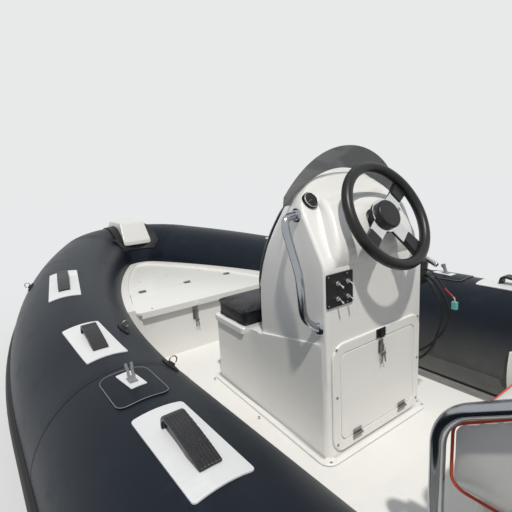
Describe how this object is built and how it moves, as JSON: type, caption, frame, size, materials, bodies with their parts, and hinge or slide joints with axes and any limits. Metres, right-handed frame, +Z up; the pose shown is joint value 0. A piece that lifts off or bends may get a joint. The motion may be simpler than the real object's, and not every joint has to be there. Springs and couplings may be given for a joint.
{
  "type": "inflatable rib boat",
  "caption": "Rigid-hulled inflatable boat with air chambers, steering console with a front seat, helm seat and bow locker.",
  "frame": {"origin": "on the centreline at the waterline, on the transom's aft face", "axes": "+X towards the bow, +Y to port, +Z up"},
  "size_m": [4.4806, 2.0244, 1.354],
  "materials": {
    "chamber_fabric": "satin navy-black coated fabric",
    "black_rubber": "matte moulded rubber",
    "grey_rubber": "ribbed grey trim",
    "hull_gelcoat": "glossy white gelcoat",
    "white_gelcoat": "warm white gelcoat",
    "stainless": "satin stainless steel",
    "polished_tube": "polished stainless tube",
    "bright_chrome": "bright plating",
    "wheel_grip": "black soft grip",
    "black_plastic": "black moulded plastic",
    "grey_plastic": "grey moulded fitting",
    "smoked_acrylic": "smoked clear acrylic",
    "black_vinyl": "black grained vinyl",
    "white_vinyl": "white grained vinyl with red piping",
    "patch_fabric": "white coated fabric patches",
    "navy_patch": "navy coated fabric patches",
    "red_wire": "red insulated wire",
    "teal_plastic": "turquoise connector"
  },
  "bodies": {
    "boat": {"aft_floor": "white_gelcoat", "backrest": "black_vinyl", "bow_chamber": "chamber_fabric", "bow_locker": "white_gelcoat", "bow_step": "white_gelcoat", "bow_step_pad": "black_rubber", "cable_grommets": "black_rubber", "console": "white_gelcoat", "control_box": "black_plastic", "control_cable_1": "black_plastic", "control_cable_2": "black_plastic", "control_lever": "bright_chrome", "deck": "white_gelcoat", "deck_trims": "grey_rubber", "door_frame": "white_gelcoat", "door_hinge_fixed_leaves": "stainless", "drain_plug": "black_plastic", "gauge": "black_plastic", "helm_backrest": "white_vinyl", "helm_bolsters": "white_vinyl", "helm_cushion": "white_vinyl", "helm_hoop": "polished_tube", "helm_seat_box": "white_gelcoat", "hull": "hull_gelcoat", "lashing_pads": "black_rubber", "lashing_rings": "stainless", "latch_keeper": "black_plastic", "locker_hinge_fixed_leaves": "stainless", "locker_latch": "stainless", "navy_patches": "navy_patch", "port_chamber": "chamber_fabric", "port_grab_rail": "polished_tube", "port_handles": "black_rubber", "port_patches": "patch_fabric", "rubbing_strake": "black_rubber", "seat_hinge_fixed_leaves": "stainless", "starboard_chamber": "chamber_fabric", "starboard_grab_rail": "polished_tube", "starboard_handles": "black_rubber", "starboard_patches": "patch_fabric", "steering_column": "black_plastic", "strap_cleats": "grey_plastic", "switch_panel": "black_plastic", "toggle_switches": "bright_chrome", "towing_eyes": "stainless", "transom": "white_gelcoat", "valves": "black_plastic", "windscreen": "smoked_acrylic", "wiring_connector": "teal_plastic", "wiring_tail": "red_wire"},
    "wheel": {"steering_wheel": "wheel_grip", "wheel_plate": "bright_chrome"},
    "door": {"console_door": "white_gelcoat", "door_hinge_moving_leaves": "stainless", "door_latch": "stainless"},
    "locker_cover": {"locker_lid": "white_gelcoat", "locker_hinge_moving_leaves": "stainless"},
    "front_seat": {"front_seat_lid": "white_gelcoat", "front_seat_cushion": "black_vinyl", "seat_hinge_moving_leaves": "stainless"}
  },
  "joints": [
    {"name": "steering", "type": "hinge", "parent": "boat", "child": "wheel", "pos_m": [1.426, 0, 0.881], "axis": [-0.8878, 0, 0.4602], "range_deg": [-540, 540]},
    {"name": "console_door", "type": "hinge", "parent": "boat", "child": "door", "pos_m": [1.4369, 0, 0.202], "axis": [0, -1, 0], "range_deg": [0, 88]},
    {"name": "locker_lid", "type": "hinge", "parent": "boat", "child": "locker_cover", "pos_m": [2.836, 0, 0.4173], "axis": [0, 1, 0], "range_deg": [0, 95]},
    {"name": "front_seat_lid", "type": "hinge", "parent": "boat", "child": "front_seat", "pos_m": [2.1563, 0, 0.4202], "axis": [0, 1, 0], "range_deg": [0, 100]}
  ]
}
